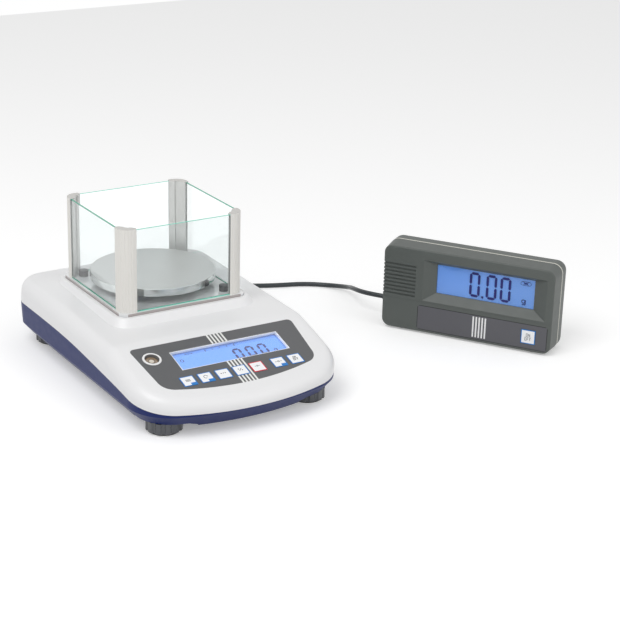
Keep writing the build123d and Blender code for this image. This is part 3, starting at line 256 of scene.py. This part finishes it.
class Surface(Nodes):
    """A material with one main shader, a fine grain and constants on the shader's own sockets."""

    def __init__(self, name, grain, depth, **constants):
        self.material = bpy.data.materials.new(name)
        self.material.use_nodes = True
        super().__init__(self.material.node_tree)
        self.shader = self.node("BsdfPrincipled", {}, {})
        bump = self.node(
            "Bump", {}, {"Height": self.noise(grain, 2), "Distance": depth, "Strength": grain_strength}
        )
        self.set("Normal", bump.outputs[0])
        for socket, constant in constants.items():
            self.shader.inputs[socket.replace("_", " ")].default_value = constant
        self.output = self.node("OutputMaterial", {}, {"Surface": self.shader.outputs[0]})

    def set(self, socket, given):
        """Feeds a socket of the shader with what varies."""
        given = given.socket if isinstance(given, Value) else given
        self.tree.links.new(given, self.shader.inputs[socket])

    def give(self, *names):
        """Puts the material on CAD nodes."""
        for name in names:
            for slot in nodes[name].material_slots:
                slot.material = self.material


class Finish(Surface):
    """A surface whose tone and gloss vary, and which can be painted."""

    def __init__(self, name, colour, roughness, grain=2500, depth=0.00002, drift=0.03, **constants):
        super().__init__(name, grain, depth, **constants)
        tone = self.noise(tone_scale, 3)
        self.colour = self.mix(tone, shade(colour, 1 - drift), shade(colour, 1 + drift))
        self.set("Base Color", self.colour)
        swing = (self.noise(gloss_scale, 3) - 0.5) * (roughness * gloss_swing)
        self.set("Roughness", roughness + swing)

    def paint(self, mask, colour):
        """Lays a colour over the last one where the mask is 1."""
        self.colour = self.mix(mask, self.colour, shade(colour))
        self.set("Base Color", self.colour)


# %% [markdown]
# ## Studio
# A pale table under a soft sky, one large lamp from the upper left and a weaker one from the right.
# The sky is white to the camera and in reflections but dimmer as light on the object, and the table
# glows a little there, so that it is paler than its paint and still keeps the soft shadows.

# %% Studio
sky_light, table_paint, table_glow, table_reach = 0.55, (0.85, 0.85, 0.85, 1), 0.3, 1.7


def seen_rays(tree):
    """1 for a ray from the camera, off a glossy face or through glass, else 0."""
    path = tree.node("LightPath", {}, {})
    rays = [Value(tree, path.outputs[f"Is {ray} Ray"]) for ray in ("Camera", "Glossy", "Transmission")]
    return rays[0] + rays[1] + rays[2]


world = bpy.data.worlds.new("studio")
world.use_nodes = True
bpy.context.scene.world = world
sky = Nodes(world.node_tree)
dim = sky.node("Background", {}, {"Color": (1, 1, 1, 1), "Strength": sky_light})
white = sky.node("Background", {}, {"Color": (1, 1, 1, 1), "Strength": 1.0})
shown = sky.node("MixShader", {}, {0: seen_rays(sky), 1: dim.outputs[0], 2: white.outputs[0]})
sky.node("OutputWorld", {}, {"Surface": shown.outputs[0]})

floor_mesh = bpy.data.meshes.new("table_top")
table_corners = [(x * table_reach, y * table_reach, 0) for x, y in ((-1, -1), (1, -1), (1, 1), (-1, 1))]
floor_mesh.from_pydata(table_corners, [], [(0, 1, 2, 3)])
floor = bpy.data.objects.new("table_top", floor_mesh)
bpy.context.scene.collection.objects.link(floor)
floor_material = bpy.data.materials.new("table_white")
floor_material.use_nodes = True
floor_mesh.materials.append(floor_material)
table = Nodes(floor_material.node_tree)
matt = table.node("BsdfDiffuse", {}, {"Color": table_paint})
glow = table.node("Emission", {}, {"Strength": seen_rays(table) * table_glow})
both = table.node("AddShader", {}, {0: matt.outputs[0], 1: glow.outputs[0]})
table.node("OutputMaterial", {}, {"Surface": both.outputs[0]})


def lamp(name, place, target, size, power):
    """A square lamp that looks at a target. Its size is in metres and its power in watts."""
    light = bpy.data.lights.new(name, "AREA")
    light.size, light.energy = size, power
    made = bpy.data.objects.new(name, light)
    made.location = at(*place)
    made.rotation_euler = (at(*target) - made.location).to_track_quat("-Z", "Y").to_euler()
    bpy.context.scene.collection.objects.link(made)


lamp("key_lamp", (-900, -500, 1500), (120, 0, 40), 1.0, 13)
lamp("fill_lamp", (700, -1200, 700), (120, 0, 60), 1.2, 4)
bpy.context.scene.view_settings.view_transform = "Standard"
print("world, table and two lamps")

# %% [markdown]
# ## Printed marks
# Digits and printed marks are thin closed slabs that lie on their face. Each is an outline pushed
# out by a small thickness, and all marks of one piece share one mesh.

# %% Printed marks


def printed(name, face, outlines, depth, thickness, finish, body):
    """Each outline once at a depth and once a thickness further out, joined by side faces."""
    corners, faces, start = [], [], 0
    for outline in outlines:
        u, v = np.array(outline, float).T
        count = len(u)
        corners += [face.places(u, v, np.full(count, d)) for d in (depth, depth + thickness)]
        ring = start + np.arange(count)
        after = start + (np.arange(count) + 1) % count
        sides = np.stack([ring, after, after + count, ring + count], axis=1)
        faces += [tuple(ring[::-1]), tuple(ring + count)] + [tuple(side) for side in sides]
        start += 2 * count
    mesh = bpy.data.meshes.new(name)
    mesh.from_pydata(np.concatenate(corners).tolist(), [], [tuple(int(i) for i in f) for f in faces])
    mesh.materials.append(finish.material)
    made = bpy.data.objects.new(name, mesh)
    bpy.context.scene.collection.objects.link(made)
    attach(made, body)
    print(name, len(outlines), "marks")


def stroke(start, end, width, point=0.0):
    """A bar from start to end, counter-clockwise, whose ends run out to points of a given length."""
    start, end = np.array(start, float), np.array(end, float)
    way = (end - start) / np.linalg.norm(end - start)
    side = np.array([-way[1], way[0]]) * width / 2
    if not point:
        return [start - side, end - side, end + side, start + side]
    tip = way * point
    return [start, start + tip - side, end - tip - side, end, end - tip + side, start + tip + side]


def ring_strokes(centre, radius, width, count=12, part=1.0):
    """A ring, or a part of one, as short bars end to end."""
    angles = np.linspace(0, 2 * pi * part, count + 1)
    places = np.stack([centre[0] + radius * np.cos(angles), centre[1] + radius * np.sin(angles)], axis=1)
    return [stroke(a, b, width) for a, b in zip(places, places[1:])]


def zero(u, v, width, height, thick):
    """The six lit segments of a nought, its lower left corner at u, v."""
    half, gap = thick / 2, thick * 0.1
    left, far, middle = u + half, u + width - half, v + height / 2
    bottom, top = v + half, v + height - half
    ends = [((left + gap, level), (far - gap, level)) for level in (bottom, top)]
    for upright in (left, far):
        ends += [((upright, bottom + gap), (upright, middle - gap))]
        ends += [((upright, middle + gap), (upright, top - gap))]
    return [stroke(a, b, thick, half) for a, b in ends]


def square(u, v, size):
    """A square round u, v."""
    return stroke((u - size / 2, v), (u + size / 2, v), size)


def gram(u, v, size, thick):
    """The sign of a gram: a loop with a tail."""
    strokes = ring_strokes((u, v + size * 0.15), size * 0.28, thick)
    strokes += [stroke((u + size * 0.32, v + size * 0.45), (u + size * 0.32, v - size * 0.35), thick)]
    return strokes + [stroke((u + size * 0.34, v - size * 0.38), (u - size * 0.25, v - size * 0.38), thick)]


# %% [markdown]
# ## Digits
# Both screens show 0.00 in seven segments. Liquid crystal segments are navy on a blue backlight.

# %% Digits
navy = Finish("segment_navy", (14, 14, 100), 0.5, drift=0.1)
segment_thickness = 0.06

lcd_depth, lcd_nought_u = -3.28, (8.6, 21.6, 34.6)
lcd_nought = {"v": 2.6, "width": 8.8, "height": 15.6, "thick": 2.3}
tick_u, long_tick_u = (-7.4, 0.1, 7.6), (-14.9, 15.1)
marks = [segment for u in lcd_nought_u for segment in zero(u, **lcd_nought)]
marks += [square(19.4, 3.5, 2.0)]
marks += ring_strokes((-42.4, 16.1), 1.7, 0.7) + gram(50.0, 5.0, 5.0, 0.7)
marks += [stroke((u, 23.0), (u, 25.0), 0.5) for u in tick_u]
marks += [stroke((u, 22.4), (u, 25.2), 0.9) for u in long_tick_u]
marks += [stroke((-36 + 3 * i, 23.8), (-34 + 3 * i, 23.8), 0.8) for i in range(3)]
printed("balance_digits", panel, marks, lcd_depth, segment_thickness, navy, "balance")

screen_depth, display_nought_u = -7.0, (0.3, 18.0, 32.7)
display_nought = {"v": 47.3, "width": 11.2, "height": 26.2, "thick": 2.6}
link_u, link_v, link_radius = (55.6, 62.6), 70.6, 1.9
marks = [segment for u in display_nought_u for segment in zero(u, **display_nought)]
marks += [square(14.6, 48.4, 2.3)]
marks += gram(57.6, 50.6, 6.2, 0.9)
marks += [bar for u in link_u for bar in ring_strokes((u, link_v), link_radius, 0.4, 10)]
marks += [stroke((link_u[0], v), (link_u[1], v), 0.4) for v in (link_v - link_radius, link_v + link_radius)]
marks += [stroke((57.0, link_v), (61.2, link_v), 1.6, 1.2)]
printed("display_digits", display, marks, screen_depth, segment_thickness, navy, "balance")

# %% [markdown]
# ## Screens
# The backlight is even, with a shadow painted along the upper and right edge from the screen's recess.
# A little emission keeps the glass display blue in the shade of its window.

# %% Screens
rim, wide_rim, past_edge = 1.6, 4.2, 9
rim_shade, wide_shade, end_shade = 0.45, 0.25, 0.35


def screen(name, face, right_end, top, colour, dark, glow):
    """A blue with a painted shadow within a few millimetres of the top and the right end."""
    made = Finish(name, colour, 0.35, grain=1200, depth=0.00001, drift=0.02, Emission_Strength=glow)
    u, v = made.on(face)
    # Painted shadow: darker near the top and the right end, where the recess round the screen shades it.
    shadow = between(v, top - rim, top + past_edge) * rim_shade
    shadow = shadow + between(v, top - wide_rim, top + past_edge) * wide_shade
    shadow = shadow + between(u, right_end - rim, right_end + past_edge) * end_shade
    made.paint(shadow, dark)
    made.set("Emission Color", made.colour)
    return made


# The second colour of each screen is its painted shadow along the top and the right end.
screen("screen_blue", panel, 60.7, 26.7, (104, 156, 236), (52, 92, 165), 0.12).give("lcd_panel")
display_blue = screen("display_screen_blue", display, 68.8, 75.6, (124, 166, 214), (96, 136, 190), 0.25)
display_blue.give("display_lcd")
print("two screens")

# %% [markdown]
# ## Plastics of the housings
# The balance has a satin white cover on a blue base. The second display is grey with a green cast,
# with a coarser grain that its moulding tool was etched with.

# %% Plastics of the housings
four_places = ("front_left", "rear_left", "front_right", "rear_right")
cover = Finish("white_plastic", (232, 232, 233), 0.38, grain=1800, drift=0.012, Coat_Weight=0.1)
cover.give("top_cover")
base = Finish(
    "blue_plastic", (8, 30, 92), 0.42, grain=1800, depth=0.00003, drift=0.05, Specular_IOR_Level=0.3
)
base.give("base_housing")
casing = Finish("display_grey", (82, 87, 84), 0.46, grain=1100, depth=0.00006, drift=0.04)
casing.give("display_front", "display_rear")
Finish("seam_cream", (226, 224, 212), 0.5).give("display_gasket")
Finish("board_green", (20, 92, 60), 0.4, grain=900).give("control_board", "main_board", "display_board")
Finish("socket_black", (24, 25, 27), 0.4).give("power_jack", "display_socket", "hook_cap")
sole = Finish("sole_rubber", (46, 47, 49), 0.7, grain=700, depth=0.0001)
sole.give(*[f"foot_sole_{place}" for place in four_places])
knob = Finish("foot_grey", (78, 80, 84), 0.22, Coat_Weight=0.4)
knob.give(*[f"foot_knob_{place}" for place in four_places])
Finish("pad_rubber", (40, 41, 42), 0.75, grain=700, depth=0.0001).give("display_feet", "pan_buffers")
print("housings, boards, sockets and feet")

# %% [markdown]
# ## Control foils
# The foils are dark grey with a fine matt grain. Five pale upright bars of one width cross them,
# and a dark line runs round the foil of the second display.

# %% Control foils
bar_count, bar_low, bar_high = 5, 7, 29
line_left, line_right, line_low, line_high = -51.0, 85.9, 5.3, 30.3


def upright_bars(u, first, width):
    """1 on bars of one width that start at a given u, with as much room between them."""
    mask = between(u, first, first + width)
    for i in range(1, bar_count):
        left = first + 2 * width * i
        mask = mask + between(u, left, left + width)
    return mask


foil = Finish("grey_foil", (86, 87, 89), 0.42, grain=2600, depth=0.00003)
foil.paint(upright_bars(foil.on(panel)[0], -6.0, 1.8), (232, 232, 230))
foil.give("control_foil")

strip = Finish("display_foil_grey", (86, 86, 91), 0.45, grain=2600, depth=0.00003)
u, v = strip.on(display)
strip.paint(upright_bars(u, 8.0, 1.6) * between(v, bar_low, bar_high), (236, 236, 236))
inside = between(u, line_left, line_right) * between(v, line_low, line_high)
strip.paint(1 - inside, (34, 35, 37))
strip.give("display_foil")
print("two foils")

# %% [markdown]
# ## Keys
# Each key is a white cap with a printed coloured frame. Three carry a small coloured tab, and all
# carry a plain sign. The pattern lies on the key itself, so it moves when the key is pressed.

# %% Keys
key_v, key_half_u, key_half_v, key_top = -15.6, 6.7, 6.6, 0.3
display_key_u, display_key_v, display_key_half, display_key_top = 67.0, 17.6, 7.35, -0.2
key_frame, tab_left, tab_top = 0.8, 0.6, -2.9
line_width, letter_width, divider_width, dot_size, sign_thickness = 0.5, 0.4, 0.25, 1.0, 0.05
blue, red = (10, 120, 200), (224, 32, 60)
key_ink = Finish("key_ink", (70, 72, 78), 0.5)


def key_finish(name, face, u_middle, v_middle, half_u, half_v, colour, tab):
    """White inside a frame: the frame is where |u| or |v| comes within its width of the edge."""
    made = Finish(name, (244, 245, 247), 0.35, grain=2200)
    u, v = made.on(face)
    u, v = u - u_middle, v - v_middle
    core = (abs(u) < half_u - key_frame) * (abs(v) < half_v - key_frame)
    mask = 1 - core
    if tab:
        mask = mask + core * (u > tab_left) * (v < tab_top)
    made.paint(mask, colour)
    made.give(name)


def letters(word, u, v, size):
    """Letters from strokes on a grid of one by two units, in cells as wide as 0.72 of the size."""
    shapes = {
        "O": [(0, 0, 1, 0), (1, 0, 1, 2), (1, 2, 0, 2), (0, 2, 0, 0)],
        "N": [(0, 0, 0, 2), (0, 2, 1, 0), (1, 0, 1, 2)],
        "F": [(0, 0, 0, 2), (0, 2, 1, 2), (0, 1, 0.8, 1)],
    }
    unit, pitch = size * 0.42, size * 0.72
    strokes = []
    for i, letter in enumerate(word):
        left = u - pitch * len(word) / 2 + pitch * i + (pitch - unit) / 2
        for line in shapes[letter]:
            start, end = np.array((left, v - unit)) + np.reshape(line, (2, 2)) * unit
            strokes.append(stroke(start, end, letter_width))
    return strokes


def sign(kind, u, v, s):
    """A sheet, a turn, dots, a share, a balance line, a nought, or on and off, of size s."""
    if kind == "sheet":
        return [stroke((u - s, v + k), (u + s * 0.8, v + k), line_width) for k in (1.1, 0, -1.1)]
    if kind == "turn":
        return ring_strokes((u, v), 0.75 * s, line_width, 10, 0.8)
    if kind == "dots":
        return [square(u + k * s * 0.8, v, dot_size) for k in (-1, 0, 1)]
    if kind == "share":
        dots = [square(u - s * 0.6, v + 1.0, dot_size), square(u + s * 0.6, v - 1.0, dot_size)]
        return dots + [stroke((u - s * 0.6, v - 1.6), (u + s * 0.6, v + 1.6), line_width)]
    if kind == "line":
        return [stroke((u - s, v), (u + s, v), line_width), stroke((u, v - 1.2), (u, v + 1.2), line_width)]
    if kind == "nought":
        ends = [(-1.3, -0.7), (0.7, 1.3)]
        arrows = [stroke((u + s * a, v), (u + s * b, v), line_width) for a, b in ends]
        return arrows + ring_strokes((u, v), 0.35 * s, line_width, 10)
    rows = letters("ON", u, v + s * 0.55, s) + letters("OFF", u, v - s * 0.75, s)
    return rows + [stroke((u - s, v - s * 0.08), (u + s, v - s * 0.08), divider_width)]


key_rows = [
    ("print", -52.4, blue, True, "sheet"), ("mode", -34.7, blue, True, "turn"),
    ("count", -17.0, blue, False, "dots"), ("percent", 0.7, blue, False, "share"),
    ("tare", 18.4, red, False, "line"), ("zero", 40.6, blue, True, "nought"),
    ("power", 58.3, blue, False, "on off"),
]
for name, u_middle, colour, tab, kind in key_rows:
    key_finish(f"key_{name}", panel, u_middle, key_v, key_half_u, key_half_v, colour, tab)
    printed(
        f"sign_{name}", panel, sign(kind, u_middle, key_v + 0.8, 2.6), key_top, sign_thickness, key_ink,
        f"key_{name}",
    )
key_finish(
    "display_key", display, display_key_u, display_key_v, display_key_half, display_key_half, blue, False
)
printed(
    "sign_display", display, sign("on off", display_key_u, display_key_v, 3.4), display_key_top,
    sign_thickness, key_ink, "display_key",
)

# %% [markdown]
# ## Clear pieces
# Panes and windows are real glass and acrylic: they bend light. Lamps reach what is behind them,
# because a ray towards a lamp meets a Transparent shader instead. Cut edges gather the green of the
# glass, so they are a shader of their own, where a mask says so. The shield's plate lies flat on
# white plastic with no gap for light, so it is that white under a polished coat.

# %% Clear pieces
glass_tint, window_tint = (238, 241, 241), (252, 253, 255)
glass_gloss, edge_gloss, backed_gloss = 0.01, 0.15, 0.4
glass_wave, glass_wave_depth = 60, 0.00002


class Clear(Surface):
    """Glass that lets lamps through, over which masks lay other shaders."""

    def __init__(self, name, tint):
        super().__init__(
            name, glass_wave, glass_wave_depth, Base_Color=shade(tint), Roughness=glass_gloss,
            Transmission_Weight=1.0, IOR=1.5,
        )
        path = self.node("LightPath", {}, {})
        clear = self.node("BsdfTransparent", {}, {"Color": shade(tint)})
        self.glass = self.shader.outputs[0]
        self.lay(path.outputs["Is Shadow Ray"], clear)

    def lay(self, mask, shader):
        """Shows a shader instead of the last ones where the mask is 1."""
        both = self.node("MixShader", {}, {0: mask, 1: self.glass, 2: shader.outputs[0]})
        self.glass = both.outputs[0]
        self.tree.links.new(self.glass, self.output.inputs["Surface"])
        return self

    def edges(self, mask, colour):
        """Gives the cut edges the green of the glass, in a painted shade of its own for each pane."""
        edge = self.node("BsdfPrincipled", {}, {"Base Color": shade(colour), "Roughness": edge_gloss})
        return self.lay(mask, edge)

    def backed(self, mask, colour, glow):
        """Shows the colour of the piece behind on the face that rests on it."""
        laid = shade(colour)
        behind = self.node(
            "BsdfPrincipled", {},
            {"Base Color": laid, "Roughness": backed_gloss, "Emission Color": laid, "Emission Strength": glow},
        )
        return self.lay(mask, behind)


upward, ground, shield_y = (0, 0, 1), at(0, 0, 0), -0.7
pane_low, pane_high, plate_rim, window_back = 73.2, 152.45, 66.35, -8.4
# The edges are the glass's own green, painted lighter on the front and rear panes and darker on the left and
# right ones: painted light and shade on one glass.
edge_colours = {
    "front": (122, 214, 190), "rear": (150, 224, 204), "left": (40, 158, 128), "right": (44, 164, 134),
}
for side, edge_colour in edge_colours.items():
    pane = Clear(f"pane_glass_{side}", glass_tint)
    height = pane.along(upward, ground)
    pane.edges(1 - between(height, pane_low, pane_high), edge_colour).give(f"glass_{side}")


def from_shield(finish):
    """How far a place lies to the side of the shield's axis, and how far before or behind it."""
    return abs(finish.along((1, 0, 0), ground)), abs(finish.along((0, 1, 0), ground) - shield_y)


plate = Finish("clear_plastic", (224, 226, 227), 0.16, grain=900, depth=0.00001, drift=0.02, Coat_Weight=1.0)
out_x, out_y = from_shield(plate)
# Beyond the rim the plate is painted brown-grey: a painted view of the pan's shadow and reflection, seen
# through the plate's thick edge.
plate.paint((out_x > plate_rim) + (out_y > plate_rim), (168, 160, 158))
plate.give("shield_base_plate")
Clear("window_clear", window_tint).give("lcd_window")
window = Clear("display_window_clear", window_tint)
behind = window.along(display.out, display.origin) < window_back
window.backed(behind, (112, 160, 222), 0.3).give("display_window")
print("panes, plate and windows")

# %% [markdown]
# ## Metals
# The weighing plate is brushed on top and polished on its rim. Brushing is noise stretched along
# one direction. The posts are aluminium: lacquered off-white outside and bare towards the chamber.

# %% Metals
pan_face, post_face, post_cap, bare_metal = 87.3, 80.4, 153.5, 0.35
rim_gloss, face_gloss, brush_swing, brush_stretch = 0.1, 0.28, 0.12, (1, 30, 1)

steel = Finish("plate_steel", (214, 216, 215), 0.3, grain=900, depth=0.000006, Metallic=1.0)
brush = steel.noise(60, 4, brush_stretch)
top_face = steel.along(upward, ground) > pan_face
steel.set("Roughness", rim_gloss + top_face * (face_gloss + brush * brush_swing))
steel.paint(top_face * brush, (200, 202, 201))
steel.give("pan")
Finish("carrier_metal", (176, 178, 180), 0.38, grain=600, depth=0.00006, Metallic=1.0).give("pan_carrier")
cast = Finish("cast_aluminium", (186, 188, 190), 0.4, grain=500, depth=0.00008, Metallic=1.0)
cast.give("load_cell", "load_cell_mount")
Finish("screw_steel", (150, 152, 155), 0.3, Metallic=1.0).give(
    "load_cell_screws", "carrier_screws", "board_screws", "housing_screws", "display_screws"
)

post = Finish("post_lacquer", (226, 224, 219), 0.36, grain=1500, drift=0.02)
out_x, out_y = from_shield(post)
bare = (out_x + out_y) * cos(radians(45)) < post_face
post.paint(bare, (214, 214, 212))
post.paint(post.along(upward, ground) > post_cap, (196, 194, 190))
post.set("Metallic", bare * bare_metal)
post.give(*[f"post_{place}" for place in four_places])
Finish("knob_dark", (62, 64, 66), 0.4, grain=900, depth=0.00005).give("shield_knobs")
print("plate, carrier, posts and screws")

# %% [markdown]
# ## Level and cord
# The level is a white bezel round a grey cup. Its vial holds an amber liquid with a bubble under a
# black circle. The cord and its plug are soft black rubber.

# %% Level and cord
level_u, level_v = -69.8, 23.1
cup_radius, circle_inside, circle_outside, bubble_radius = 6.9, 2.9, 3.4, 2.2


def from_level(finish):
    """The squared distance from the level's middle: u squared plus v squared."""
    u, v = finish.on(panel)
    u, v = u - level_u, v - level_v
    return u * u + v * v


bezel = Finish("level_white", (236, 236, 236), 0.3)
bezel.paint(from_level(bezel) < cup_radius**2, (120, 120, 122))
bezel.give("level_cup")
vial = Finish("level_glass", (150, 128, 104), 0.06, drift=0.06, Coat_Weight=1.0)
distance = from_level(vial)
vial.paint(between(distance, circle_inside**2, circle_outside**2), (36, 32, 30))
vial.paint(distance < bubble_radius**2, (214, 206, 190))
vial.give("level_vial")

rubber = Finish("soft_rubber", (44, 50, 53), 0.36, grain=900, depth=0.00004, drift=0.06)
rubber.give("cord_plug", "cord_gland")
curve.materials.append(rubber.material)

# %% Hand over
bpy.context.view_layer.update()
